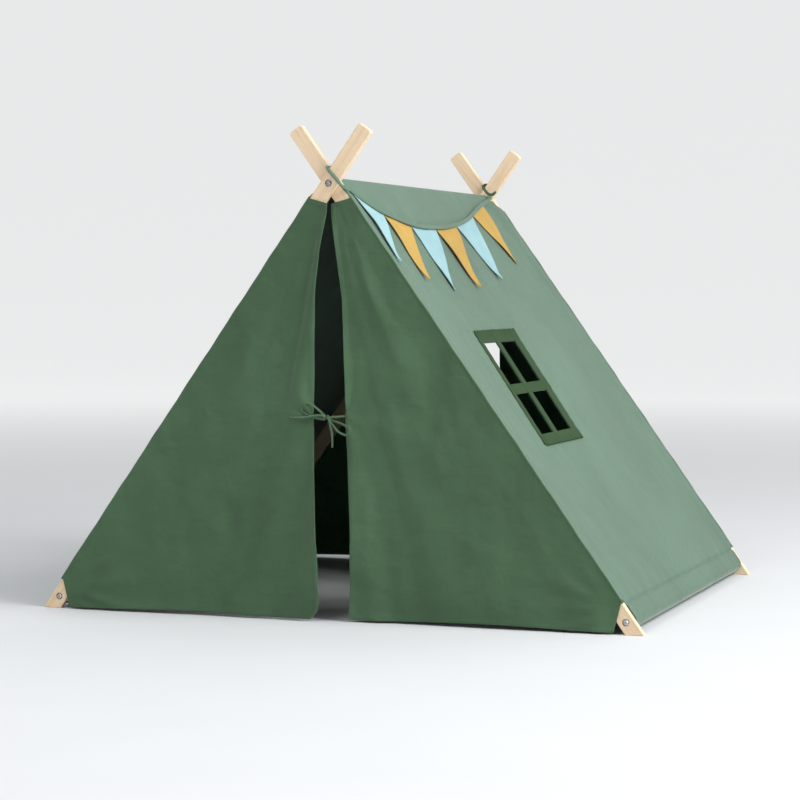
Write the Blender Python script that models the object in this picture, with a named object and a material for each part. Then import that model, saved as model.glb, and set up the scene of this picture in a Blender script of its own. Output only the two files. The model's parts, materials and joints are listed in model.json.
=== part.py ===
"""Kids' A-frame play tent: two leaning slat halves hinged on a ridge pole, with a cotton cover.

Metres, +Z up. X runs across the tent, Y along its depth with the front at -Y. The origin is the
middle of the footprint on the floor. The two halves are the same shape, turned half a turn about Z.
A half is drawn in its own frame: origin on the ridge axis, -Z down the legs and -X out of the slope.
"""
import math

import bmesh
import bpy
from mathutils import Matrix, Vector

# Driving dimensions
RIDGE_Z = 0.892                    # height of the crossing, which is the hinge axis
LEAN = math.radians(35.45)         # lean of each leg from vertical
DEPTH = 1.066                      # front face to back face of the wooden frame
LEG_W = 0.032                      # slat width
LEG_T = 0.016                      # slat thickness
LEG_TIP = 0.137                    # slat above the crossing, along the slat
RAIL_R = 0.015                     # bottom rails
RIDGE_R = 0.0105                   # ridge pole
FOOT_BOLT_Z = 0.025                # height of the foot bolts above the floor
GAP = 0.0003                       # clearance between touching pieces
CLOTH_T = 0.0016                   # thickness of every cover panel
HEM_S = 1.033                      # hem stitching of the side panels, down the slope
FLAP_TOP_Z = 0.862                 # top corners of the door flaps
DOOR_TOP_Z = 0.851                 # where the two flaps meet at the top
HEM_Z = 0.006                      # bottom hem of the flaps above the floor
SLIT_HALF = 0.028                  # half of the gap between a pair of flaps
BOLT_R = 0.003
HEAD_R = 0.005
HEAD_H = 0.006
SINK_R = 0.0075                    # counterbore that hides the bolt heads
SINK_DEPTH = 0.007
INSERT_R = 0.005
INSERT_LEN = 0.013
BOLT_REACH = 0.020                 # how far a bolt enters the pole end
TIE_R = 0.002                      # door ties, as round cords
TIE_Z = 0.417                      # height of the bows
WINDOW_S = (0.380, 0.669)          # window trim, down the slope
WINDOW_Y = (-0.305, -0.015)        # window trim, along the depth
PANE_S = ((0.410, 0.5155), (0.5395, 0.6405))
PANE_Y = ((-0.283, -0.195), (-0.168, -0.058))
PENNANT_T = 0.0012                 # pennants lie on the side panel, under the tape
TAPE_LIFT = PENNANT_T + 2 * GAP
TAPE_W = 0.010
TAPE_T = 0.0015

SIN = math.sin(LEAN)
COS = math.cos(LEAN)
HALF_D = DEPTH / 2
SKIN_IN = LEG_W / 2 + GAP          # inner face of the cover, out of the leg centre line
SKIN_OUT = SKIN_IN + CLOTH_T
CROSSING_S = 0.0120                # the other half's leg passes through the slope above this
FOOT_BOLT_S = (RIDGE_Z - FOOT_BOLT_Z) / COS
OUTER_LEG_Y = (-HALF_D, -HALF_D + LEG_T)
INNER_LEG_Y = (HALF_D - 2 * LEG_T - GAP, HALF_D - LEG_T - GAP)
RAIL_Y = (OUTER_LEG_Y[1] + GAP, INNER_LEG_Y[0] - GAP)
RIDGE_Y = (-INNER_LEG_Y[0] + GAP, INNER_LEG_Y[0] - GAP)


# Materials

def material(name, color, roughness, metallic=0.0):
    """A Principled material in one colour, made once."""
    found = bpy.data.materials.get(name)
    if found:
        return found
    made = bpy.data.materials.new(name)
    made.use_nodes = True
    shader = made.node_tree.nodes["Principled BSDF"]
    shader.inputs["Base Color"].default_value = (*color, 1.0)
    shader.inputs["Roughness"].default_value = roughness
    shader.inputs["Metallic"].default_value = metallic
    return made


def pine():
    return material("pine", (0.62, 0.42, 0.25), 0.6)


def canvas():
    return material("canvas", (0.12, 0.23, 0.14), 0.9)


def trim():
    return material("window_trim", (0.07, 0.16, 0.06), 0.9)


def aqua():
    return material("aqua_cotton", (0.50, 0.80, 0.84), 0.9)


def mustard():
    return material("mustard_cotton", (0.85, 0.52, 0.14), 0.9)


def zinc():
    return material("zinc_steel", (0.60, 0.60, 0.62), 0.3, 1.0)


# Mesh helpers

def new_object(name, bm, look, parent=None, location=(0, 0, 0), smooth=False):
    """Turn a bmesh into a named object with one material."""
    bmesh.ops.recalc_face_normals(bm, faces=bm.faces)
    mesh = bpy.data.meshes.new(name)
    bm.to_mesh(mesh)
    bm.free()
    if smooth:
        mesh.shade_smooth()
        mesh.set_sharp_from_angle(angle=math.radians(40))
    mesh.materials.append(look)
    piece = bpy.data.objects.new(name, mesh)
    bpy.context.scene.collection.objects.link(piece)
    piece.parent = parent
    piece.location = location
    return piece


def prism(outline, low, high, axis="Y"):
    """Extrude a flat outline between two places along Y (outline in X, Z) or along X (in Y, Z)."""
    bm = bmesh.new()
    if axis == "Y":
        ring = [bm.verts.new((a, low, b)) for a, b in outline]
        push = Vector((0, high - low, 0))
    else:
        ring = [bm.verts.new((low, a, b)) for a, b in outline]
        push = Vector((high - low, 0, 0))
    face = bm.faces.new(ring)
    made = bmesh.ops.extrude_face_region(bm, geom=[face])
    moved = [item for item in made["geom"] if isinstance(item, bmesh.types.BMVert)]
    bmesh.ops.translate(bm, verts=moved, vec=push)
    return bm


def lathe(profile, segments=16, bore=False):
    """Turn (radius, y) points about Y: a solid with end caps, or a ring when bore is set."""
    bm = bmesh.new()
    rings = []
    for radius, y in profile:
        ring = []
        for k in range(segments):
            turn = math.tau * k / segments
            ring.append(bm.verts.new((radius * math.cos(turn), y, radius * math.sin(turn))))
        rings.append(ring)
    pairs = list(zip(rings, rings[1:]))
    if bore:
        pairs.append((rings[-1], rings[0]))
    for first, second in pairs:
        for k in range(segments):
            after = (k + 1) % segments
            bm.faces.new((first[k], first[after], second[after], second[k]))
    if not bore:
        bm.faces.new(rings[0])
        bm.faces.new(rings[-1])
    return bm


def box(low, high):
    """A plain block between two corners."""
    size = [b - a for a, b in zip(low, high)]
    centre = [(a + b) / 2 for a, b in zip(low, high)]
    bm = bmesh.new()
    bmesh.ops.create_cube(bm, size=1.0, matrix=Matrix.Translation(centre) @ Matrix.Diagonal((*size, 1)))
    return bm


def cut(piece, cutter_bm, name):
    """Subtract a closed cutter that shares the piece's parent and place."""
    cutter = new_object(name, cutter_bm, piece.data.materials[0], piece.parent, piece.location)
    cutter.hide_render = True
    cutter.display_type = "WIRE"
    change = piece.modifiers.new(name, "BOOLEAN")
    change.operation = "DIFFERENCE"
    change.object = cutter


def soften(piece, width, segments=1):
    """A small bevel on the sharp edges."""
    change = piece.modifiers.new("edges", "BEVEL")
    change.width = width
    change.segments = segments
    change.limit_method = "ANGLE"
    change.angle_limit = math.radians(50)


def drill(radius, low, high, s=0.0):
    """A round cutter along Y, s down the slope from the ridge axis."""
    bm = lathe([(radius, low), (radius, high)])
    bmesh.ops.translate(bm, verts=bm.verts, vec=(0, 0, -s))
    return bm


# Wooden frame

def rounded_end(half, top, radius, steps=4):
    """Outline points round the two corners of a slat's upper end, from -X to +X."""
    points = []
    for side, start in ((-1, math.pi), (1, math.pi / 2)):
        for k in range(steps + 1):
            turn = start - math.pi / 2 * k / steps
            points.append((side * (half - radius) + radius * math.cos(turn),
                           top - radius + radius * math.sin(turn)))
    return points


def leg(name, half, span, sunk_top, sunk_side):
    """One slat of a half. span is its place along Y; the counterbores open at y = sunk_side."""
    foot_in = -(RIDGE_Z - LEG_W / 2 * SIN) / COS
    foot_out = -(RIDGE_Z + LEG_W / 2 * SIN) / COS
    outline = rounded_end(LEG_W / 2, LEG_TIP, 0.006)
    outline += [(LEG_W / 2, foot_in), (-LEG_W / 2, foot_out)]
    piece = new_object(name, prism(outline, *span), pine(), half)
    soften(piece, 0.0016, 2)
    low, high = span[0] - 0.01, span[1] + 0.01
    cut(piece, drill(BOLT_R + GAP, low, high), name + "_top_hole")
    cut(piece, drill(BOLT_R + GAP, low, high, FOOT_BOLT_S), name + "_foot_hole")
    outward = -1 if sunk_side == span[0] else 1
    near, far = sunk_side - outward * SINK_DEPTH, sunk_side + outward * 0.01
    cut(piece, drill(SINK_R, min(near, far), max(near, far), FOOT_BOLT_S), name + "_foot_sink")
    if sunk_top:
        cut(piece, drill(SINK_R, min(near, far), max(near, far)), name + "_top_sink")
    return piece


def pole(name, parent, span, radius, s=0.0):
    """A round dowel along Y with a hole in each end for the insert and the bolt."""
    edge = 0.0015
    profile = [(radius - edge, span[0]), (radius, span[0] + edge)]
    profile += [(radius, span[1] - edge), (radius - edge, span[1])]
    piece = new_object(name, lathe(profile, 24), pine(), parent, (0, 0, -s), smooth=True)
    reach = BOLT_REACH + 0.004
    cut(piece, drill(INSERT_R + GAP, span[0] - 0.01, span[0] + reach), name + "_hole_a")
    cut(piece, drill(INSERT_R + GAP, span[1] - reach, span[1] + 0.01), name + "_hole_b")
    return piece


def fixing(name, parent, face_y, outward, pole_y, s=0.0):
    """Cap bolt, washer and threaded insert that hold a leg to the end of a pole.

    face_y is the wood's outer face, outward is -1 or +1 along Y, pole_y is the end of the pole.
    """
    seat = face_y - outward * SINK_DEPTH
    washer_t = 0.0010
    under = seat + outward * (washer_t + 2 * GAP)
    tip = pole_y - outward * BOLT_REACH
    place = (0, 0, -s)
    chamfer = 0.0008
    top = under + outward * HEAD_H
    profile = [(HEAD_R - chamfer, top), (HEAD_R, top - outward * chamfer), (HEAD_R, under)]
    profile += [(BOLT_R, under), (BOLT_R, tip + outward * chamfer), (BOLT_R - chamfer, tip)]
    bolt = new_object(name + "_bolt", lathe(profile), zinc(), parent, place, smooth=True)
    socket = lathe([(0.0029, top - outward * 0.003), (0.0029, top + outward * 0.01)], 6)
    cut(bolt, socket, name + "_bolt_socket")
    inner, outer = BOLT_R + GAP, SINK_R - 2 * GAP
    low, high = seat + outward * GAP, seat + outward * (GAP + washer_t)
    ring = [(inner, low), (outer, low), (outer, high), (inner, high)]
    new_object(name + "_washer", lathe(ring, bore=True), zinc(), parent, place, smooth=True)
    low, high = pole_y - outward * GAP, pole_y - outward * (GAP + INSERT_LEN)
    ring = [(inner, low), (INSERT_R, low), (INSERT_R, high), (inner, high)]
    new_object(name + "_insert", lathe(ring, bore=True), zinc(), parent, place, smooth=True)


# Cotton cover

def thick_line(points, thickness):
    """Closed outline of a line of (x, z) points given an even thickness."""
    left, right = [], []
    for k, point in enumerate(points):
        before = Vector(points[max(k - 1, 0)])
        after = Vector(points[min(k + 1, len(points) - 1)])
        along = (after - before).normalized()
        across = Vector((-along.y, along.x)) * thickness / 2
        left.append(tuple(Vector(point) + across))
        right.append(tuple(Vector(point) - across))
    return left + right[::-1]


def side_panel(name, half):
    """One slope of the cover, from the ridge to a hem that folds round the bottom rail."""
    middle = SKIN_IN + CLOTH_T / 2
    points = [(-middle, -0.002), (-middle, -0.35), (-middle, -0.70), (-middle, -FOOT_BOLT_S)]
    for k in range(1, 12):
        turn = math.pi + math.radians(20 * k)
        points.append((middle * math.cos(turn), -FOOT_BOLT_S + middle * math.sin(turn)))
    points.append((-middle + CLOTH_T + 0.0015, -HEM_S))
    panel = prism(thick_line(points, CLOTH_T), -HALF_D, HALF_D - LEG_T - GAP)
    piece = new_object(name, panel, canvas(), half)
    notch_top = -HEM_S + 0.025
    for tag, low, high in (("a", -HALF_D - 0.05, RAIL_Y[0] + GAP), ("b", RAIL_Y[1] - GAP, HALF_D + 0.05)):
        cut(piece, box((-0.06, low, -1.2), (0.06, high, notch_top)), f"{name}_notch_{tag}")
    crossing = box((-0.06, -HALF_D - 0.05, -CROSSING_S), (0.0, RIDGE_Y[0] + GAP, 0.05))
    cut(piece, crossing, f"{name}_notch_crossing")
    return piece


def ridge_strip(parent):
    """The top of the cover, curved over the ridge pole between the two crossings."""
    middle = RIDGE_R + GAP + CLOTH_T / 2
    spread = 70
    points = []
    for k in range(11):
        turn = math.radians(90 + spread - 2 * spread * k / 10)
        points.append((middle * math.cos(turn), middle * math.sin(turn)))
    low, high = RIDGE_Y[0] + GAP, RIDGE_Y[1] - GAP
    return new_object("ridge_strip", prism(thick_line(points, CLOTH_T), low, high), canvas(), parent)


def flap(name, half, y_face, outward):
    """A door flap in its closed place. The outline is upright, so it is turned back by the lean."""
    edge = SKIN_OUT / COS
    slope = SIN / COS
    cut_z = 0.066
    outline = [
        (-(RIDGE_Z - FLAP_TOP_Z) * slope - edge, FLAP_TOP_Z),
        (-0.003, DOOR_TOP_Z),
        (-SLIT_HALF + 0.002, 0.650),
        (-SLIT_HALF, TIE_Z),
        (-SLIT_HALF, HEM_Z),
        (-0.594, HEM_Z),
        (-(RIDGE_Z - cut_z) * slope - edge, cut_z),
    ]
    turned = []
    for x, z in outline:
        z -= RIDGE_Z
        turned.append((x * COS - z * SIN, x * SIN + z * COS))
    hinge_x = -SKIN_OUT
    turned = [(x - hinge_x, z) for x, z in turned]
    near = y_face + outward * GAP
    far = near + outward * CLOTH_T
    bm = prism(turned, min(near, far) - y_face, max(near, far) - y_face)
    return new_object(name, bm, canvas(), half, (hinge_x, y_face, 0))


def smooth_path(points, spacing):
    """Evenly spaced places on a smooth curve through the given points."""
    knots = [Vector(p) for p in points]
    dense = []
    for k in range(len(knots) - 1):
        before = knots[max(k - 1, 0)]
        start, end = knots[k], knots[k + 1]
        after = knots[min(k + 2, len(knots) - 1)]
        for step in range(24):
            t = step / 24
            dense.append(0.5 * (2 * start + (end - before) * t
                                + (2 * before - 5 * start + 4 * end - after) * t ** 2
                                + (3 * start - before - 3 * end + after) * t ** 3))
    dense.append(knots[-1])
    lengths = [0.0]
    for a, b in zip(dense, dense[1:]):
        lengths.append(lengths[-1] + (b - a).length)
    count = max(2, round(lengths[-1] / spacing))
    result = []
    k = 0
    for step in range(count + 1):
        want = lengths[-1] * step / count
        while k < len(dense) - 2 and lengths[k + 1] < want:
            k += 1
        share = (want - lengths[k]) / (lengths[k + 1] - lengths[k])
        result.append(dense[k].lerp(dense[k + 1], share))
    return result


def cord(name, route, radius, look, parent):
    """A round tube along a smooth curve through the route's points."""
    data = bpy.data.curves.new(name, "CURVE")
    data.dimensions = "3D"
    data.bevel_depth = radius
    data.bevel_resolution = 2
    data.use_fill_caps = True
    places = smooth_path(route, 2.5 * 2 * radius)
    spline = data.splines.new("POLY")
    spline.points.add(len(places) - 1)
    for point, place in zip(spline.points, places):
        point.co = (*place, 1.0)
    data.materials.append(look)
    piece = bpy.data.objects.new(name, data)
    bpy.context.scene.collection.objects.link(piece)
    piece.parent = parent
    return piece


# Each tie is drawn in the world: (across, out of the door, up) from the middle of the bow.
LEFT_TIE = (
    (-0.0330, 0.0045, 0.0030), (-0.0160, 0.0052, 0.0010), (-0.0040, 0.0060, 0.0000),
    (-0.0120, 0.0090, 0.0100), (-0.0360, 0.0110, 0.0280), (-0.0520, 0.0110, 0.0260),
    (-0.0540, 0.0110, 0.0120), (-0.0330, 0.0110, 0.0010), (-0.0050, 0.0120, -0.0030),
    (-0.0050, 0.0170, 0.0040), (-0.0180, 0.0170, 0.0050), (-0.0500, 0.0160, 0.0000),
    (-0.0820, 0.0120, -0.0010),
)
RIGHT_TIE = (
    (0.0330, -0.0110, 0.0030), (0.0170, 0.0000, 0.0015), (0.0040, 0.0060, 0.0000),
    (0.0120, 0.0090, -0.0060), (0.0330, 0.0110, -0.0120), (0.0480, 0.0110, -0.0220),
    (0.0430, 0.0110, -0.0340), (0.0240, 0.0110, -0.0270), (0.0050, 0.0120, -0.0040),
    (0.0050, 0.0170, 0.0040), (0.0090, 0.0170, -0.0140), (0.0130, 0.0150, -0.0350),
    (0.0120, 0.0120, -0.0600),
)

# Where the bunting's tape lies on the right slope: (depth, distance down the slope).
TAPE_ROUTE = (
    (-0.498, 0.024), (-0.471, 0.038), (-0.428, 0.062), (-0.368, 0.085), (-0.240, 0.110),
    (-0.120, 0.113), (0.006, 0.107), (0.164, 0.085), (0.264, 0.061), (0.368, 0.035), (0.470, 0.013),
)
PENNANT_ENDS = (-0.479, -0.375, -0.246, -0.090, 0.074, 0.257, 0.400)
PENNANT_TIPS = (
    (-0.491, 0.211), (-0.386, 0.254), (-0.234, 0.277), (-0.063, 0.271), (0.140, 0.248), (0.351, 0.202),
)


def slope_point(y, s, lift):
    """A place on the right slope, in the half's own frame, lifted out of the cover."""
    return Vector((-(SKIN_OUT + lift), -y, -s))


def bunting_tape(half):
    """Folded tape that runs along the right slope between the two crossings."""
    route = [slope_point(y, s, TAPE_LIFT + TAPE_T / 2) for y, s in TAPE_ROUTE]
    places = smooth_path(route, 0.03)
    bm = bmesh.new()
    rings = []
    for k, place in enumerate(places):
        along = (places[min(k + 1, len(places) - 1)] - places[max(k - 1, 0)]).normalized()
        out = Vector((-1, 0, 0))
        side = along.cross(out).normalized() * TAPE_W / 2
        lift = out * TAPE_T / 2
        corners = (side + lift, side - lift, -side - lift, -side + lift)
        rings.append([bm.verts.new(place + corner) for corner in corners])
    for first, second in zip(rings, rings[1:]):
        for k in range(4):
            after = (k + 1) % 4
            bm.faces.new((first[k], first[after], second[after], second[k]))
    bm.faces.new(rings[0])
    bm.faces.new(rings[-1])
    return new_object("bunting_tape", bm, canvas(), half)


def tape_depth(y):
    """How far down the slope the tape lies at a depth y."""
    places = smooth_path([(a, b, 0.0) for a, b in TAPE_ROUTE], 0.01)
    for first, second in zip(places, places[1:]):
        if first.x <= y <= second.x:
            return first.y + (second.y - first.y) * (y - first.x) / (second.x - first.x)
    return places[-1].y


def pennant(number, half):
    """A long triangle that hangs down the slope from the tape."""
    low, high = PENNANT_ENDS[number], PENNANT_ENDS[number + 1]
    gap = 0.0015
    corners = [(low + gap, tape_depth(low)), (high - gap, tape_depth(high)), PENNANT_TIPS[number]]
    outline = [(-y, -s) for y, s in corners]
    start = -(SKIN_OUT + GAP)
    bm = prism(outline, start - PENNANT_T, start, axis="X")
    look = aqua() if number % 2 == 0 else mustard()
    return new_object(f"pennant_{number + 1}", bm, look, half)


def pane_cutters(piece, name):
    """Cut the four open panes of the window through a piece on the right slope."""
    for row, (s_low, s_high) in enumerate(PANE_S):
        for column, (y_low, y_high) in enumerate(PANE_Y):
            cutter = box((-0.04, -y_high, -s_high), (-0.005, -y_low, -s_low))
            cut(piece, cutter, f"{name}_pane_{row}{column}")


def window_trim(half):
    """The sewn-on window border with its glazing bars, laid on the right slope."""
    low = (-(SKIN_OUT + GAP + 0.0012), -WINDOW_Y[1], -WINDOW_S[1])
    high = (-(SKIN_OUT + GAP), -WINDOW_Y[0], -WINDOW_S[0])
    piece = new_object("window_trim", box(low, high), trim(), half)
    pane_cutters(piece, "window_trim")
    return piece


# Assembly

def empty(name, location, rotation=(0, 0, 0)):
    """A parent frame with no mesh."""
    frame = bpy.data.objects.new(name, None)
    bpy.context.scene.collection.objects.link(frame)
    frame.location = location
    frame.rotation_euler = rotation
    return frame


def build_half(side, turn):
    """Legs, rail, fixings, slope and flaps of one half, turned about Z by turn."""
    half = empty(f"{side}_half", (0, 0, RIDGE_Z), (0, LEAN, turn))
    outer_end, inner_end = ("front", "back") if side == "left" else ("back", "front")
    leg(f"leg_{outer_end}_{side}", half, OUTER_LEG_Y, True, OUTER_LEG_Y[0])
    leg(f"leg_{inner_end}_{side}", half, INNER_LEG_Y, False, INNER_LEG_Y[1])
    pole(f"rail_{side}", half, RAIL_Y, RAIL_R, FOOT_BOLT_S)
    fixing(f"foot_{outer_end}_{side}", half, OUTER_LEG_Y[0], -1, RAIL_Y[0], FOOT_BOLT_S)
    fixing(f"foot_{inner_end}_{side}", half, INNER_LEG_Y[1], 1, RAIL_Y[1], FOOT_BOLT_S)
    panel = side_panel(f"side_panel_{side}", half)
    flap(f"flap_{outer_end}_{side}", half, OUTER_LEG_Y[0], -1)
    flap(f"flap_{inner_end}_{side}", half, INNER_LEG_Y[1], 1)
    return half, panel


def build_ties():
    """Two ties at each end of the tent, knotted in a bow. The back is the front turned half a turn."""
    for end, turn in (("front", 0.0), ("back", math.pi)):
        for tag, route in (("left", LEFT_TIE), ("right", RIGHT_TIE)):
            side = tag if end == "front" else {"left": "right", "right": "left"}[tag]
            points = [(x, -HALF_D - out, TIE_Z + up) for x, out, up in route]
            tie = cord(f"tie_{end}_{side}", points, TIE_R, canvas(), None)
            tie.rotation_euler = (0, 0, turn)


def build():
    for old in list(bpy.data.objects):
        bpy.data.objects.remove(old, do_unlink=True)
    ridge = empty("ridge", (0, 0, RIDGE_Z))
    pole("ridge_pole", ridge, RIDGE_Y, RIDGE_R)
    ridge_strip(ridge)
    fixing("ridge_front", ridge, -HALF_D, -1, RIDGE_Y[0])
    fixing("ridge_back", ridge, HALF_D, 1, RIDGE_Y[1])
    build_half("left", 0.0)
    right, panel = build_half("right", math.pi)
    pane_cutters(panel, "side_panel")
    window_trim(right)
    bunting_tape(right)
    for number in range(len(PENNANT_ENDS) - 1):
        pennant(number, right)
    build_ties()


build()
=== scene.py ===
"""Looks of the kids' A-frame tent: pine slats, green cotton cover, window, bunting and door bows.

Metres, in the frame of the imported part: X across, Y from the front door to the back, Z up.
A slope point is (side, s, y, n): side -1 left or +1 right, s down the slope from the ridge axis,
y along the depth and n out of the leg's centre line.
"""
import json
import math

import bmesh
import bpy
import numpy as np
from mathutils import Matrix, Vector


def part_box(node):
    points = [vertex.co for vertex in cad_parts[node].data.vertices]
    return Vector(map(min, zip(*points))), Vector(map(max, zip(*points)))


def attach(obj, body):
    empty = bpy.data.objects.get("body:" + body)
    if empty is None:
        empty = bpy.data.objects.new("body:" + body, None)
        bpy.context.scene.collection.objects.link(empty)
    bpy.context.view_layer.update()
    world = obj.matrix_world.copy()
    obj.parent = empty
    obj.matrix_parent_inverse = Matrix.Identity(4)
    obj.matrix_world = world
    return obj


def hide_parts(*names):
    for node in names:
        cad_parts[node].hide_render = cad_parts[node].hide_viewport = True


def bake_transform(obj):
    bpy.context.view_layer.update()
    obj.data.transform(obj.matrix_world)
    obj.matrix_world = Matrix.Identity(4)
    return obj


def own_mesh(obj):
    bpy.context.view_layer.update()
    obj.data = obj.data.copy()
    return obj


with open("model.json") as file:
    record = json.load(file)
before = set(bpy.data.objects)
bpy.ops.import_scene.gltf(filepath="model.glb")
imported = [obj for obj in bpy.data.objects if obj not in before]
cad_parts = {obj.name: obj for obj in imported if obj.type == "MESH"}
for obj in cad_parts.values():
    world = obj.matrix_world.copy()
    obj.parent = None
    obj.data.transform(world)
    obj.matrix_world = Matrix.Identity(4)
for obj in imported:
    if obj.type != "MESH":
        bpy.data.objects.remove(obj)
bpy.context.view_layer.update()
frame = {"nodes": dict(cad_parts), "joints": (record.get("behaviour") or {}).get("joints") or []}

# Driving dimensions, read from the frame
JOINTS = {joint["name"]: joint for joint in frame["joints"]}
RIDGE_Z = JOINTS["left_fold"]["pos_m"][2]
HINGE = JOINTS["door_front_left_swing"]
LEAN = math.atan2(abs(HINGE["axis"][0]), abs(HINGE["axis"][2]))
SIN, COS, TAN = math.sin(LEAN), math.cos(LEAN), math.tan(LEAN)
SKIN = abs(HINGE["pos_m"][0]) / COS            # outer face of the cover, out of the leg centre line
HALF_D = -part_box("leg_front_left")[0].y
LEG_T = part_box("leg_front_left")[1].y + HALF_D
RAIL_LOW, RAIL_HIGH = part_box("rail_right")
RAIL_S = (RIDGE_Z - (RAIL_LOW.z + RAIL_HIGH.z) / 2) / COS
RIDGE_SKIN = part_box("ridge_pole")[1].z - RIDGE_Z + 0.0010
FLAP_LOW, FLAP_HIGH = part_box("flap_front_left")
WINDOW_LOW, WINDOW_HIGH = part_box("window_trim")

# Cover
CLOTH_T = 0.0010                               # single ply
HEM_T = 0.0024                                 # folded hem
HEM_W = 0.0105                                 # width of a hem, edge to stitching
COVER_N = SKIN - 0.0006                        # middle of the slopes' cloth
HEM_S = 1.033                                  # stitching of the rail sleeve, down the slope
CUT_Z = 0.066                                  # corner cut of the doors above the feet
DOOR_TOP_Z = 0.851
TIE_Z = 0.417                                  # height of the bows
DOOR_FOOT_X = 0.593                            # end of the doors' hem at the corner cut
SIDE_CUT_S = 1.018                             # where the slopes draw in above the feet
TOP_CUT_S = 0.048                              # where the slopes are cut round the crossings
PANE_S = ((0.410, 0.5155), (0.5395, 0.6405))
PANE_Y = ((-0.283, -0.195), (-0.168, -0.058))
WINDOW_SKEW = -0.10                            # the window stands a little askew on the slope

# Gap from the door's middle line to the slit edge, by height: front left and front right
SLIT = {
    "left": ((0.006, 0.036), (0.022, 0.021), (0.05, 0.017), (0.17, 0.024), (0.30, 0.028),
             (0.417, 0.031), (0.52, 0.029), (0.66, 0.026), (0.757, 0.017), (0.834, 0.002), (0.87, 0.0005)),
    "right": ((0.006, 0.040), (0.05, 0.041), (0.17, 0.043), (0.30, 0.038), (0.417, 0.033),
              (0.52, 0.031), (0.66, 0.026), (0.757, 0.012), (0.834, 0.0005), (0.87, 0.0005)),
}


# Node materials

class Shader:
    """A short way to write a node tree."""

    def __init__(self, name):
        self.material = bpy.data.materials.new(name)
        self.material.use_nodes = True
        self.tree = self.material.node_tree
        self.out = self.tree.nodes["Principled BSDF"]

    def node(self, kind, settings=None, **inputs):
        made = self.tree.nodes.new(kind)
        for key, value in (settings or {}).items():
            setattr(made, key, value)
        for key, value in inputs.items():
            self.feed(made.inputs[key.replace("_", " ")], value)
        return made

    def feed(self, socket, value):
        if isinstance(value, bpy.types.NodeSocket):
            self.tree.links.new(value, socket)
        else:
            socket.default_value = value

    def place(self, scale=(1, 1, 1), turn=0.0, source=None):
        """Object coordinates, turned about Y and then scaled."""
        if source is None:
            source = self.node("ShaderNodeTexCoord").outputs["Object"]
        turned = self.node("ShaderNodeVectorRotate", {"rotation_type": "Y_AXIS"}, Vector=source, Angle=turn)
        return self.node("ShaderNodeMapping", Vector=turned.outputs[0], Scale=scale).outputs[0]

    def noise(self, vector, scale, detail=3.0, distortion=0.0):
        made = self.node("ShaderNodeTexNoise", Vector=vector, Scale=scale, Detail=detail,
                         Distortion=distortion)
        return made.outputs["Fac"]

    def math(self, operation, a, b=0.0):
        made = self.node("ShaderNodeMath", {"operation": operation})
        self.feed(made.inputs[0], a)
        self.feed(made.inputs[1], b)
        return made.outputs[0]

    def ramp(self, value, *stops):
        made = self.node("ShaderNodeValToRGB", Fac=value)
        while len(made.color_ramp.elements) < len(stops):
            made.color_ramp.elements.new(0.5)
        for element, (position, color) in zip(made.color_ramp.elements, stops):
            element.position = position
            element.color = (*color, 1.0)
        return made.outputs["Color"]

    def mix(self, share, a, b, mode="MIX"):
        made = self.node("ShaderNodeMix", {"data_type": "RGBA", "blend_type": mode})
        self.feed(made.inputs[0], share)
        self.feed(made.inputs[6], a if not isinstance(a, tuple) else (*a, 1.0))
        self.feed(made.inputs[7], b if not isinstance(b, tuple) else (*b, 1.0))
        return made.outputs[2]

    def bump(self, height, strength, distance):
        made = self.node("ShaderNodeBump", Height=height, Strength=strength, Distance=distance)
        self.tree.links.new(made.outputs[0], self.out.inputs["Normal"])

    def finish(self, **inputs):
        for key, value in inputs.items():
            self.feed(self.out.inputs[key.replace("_", " ")], value)
        return self.material


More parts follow.
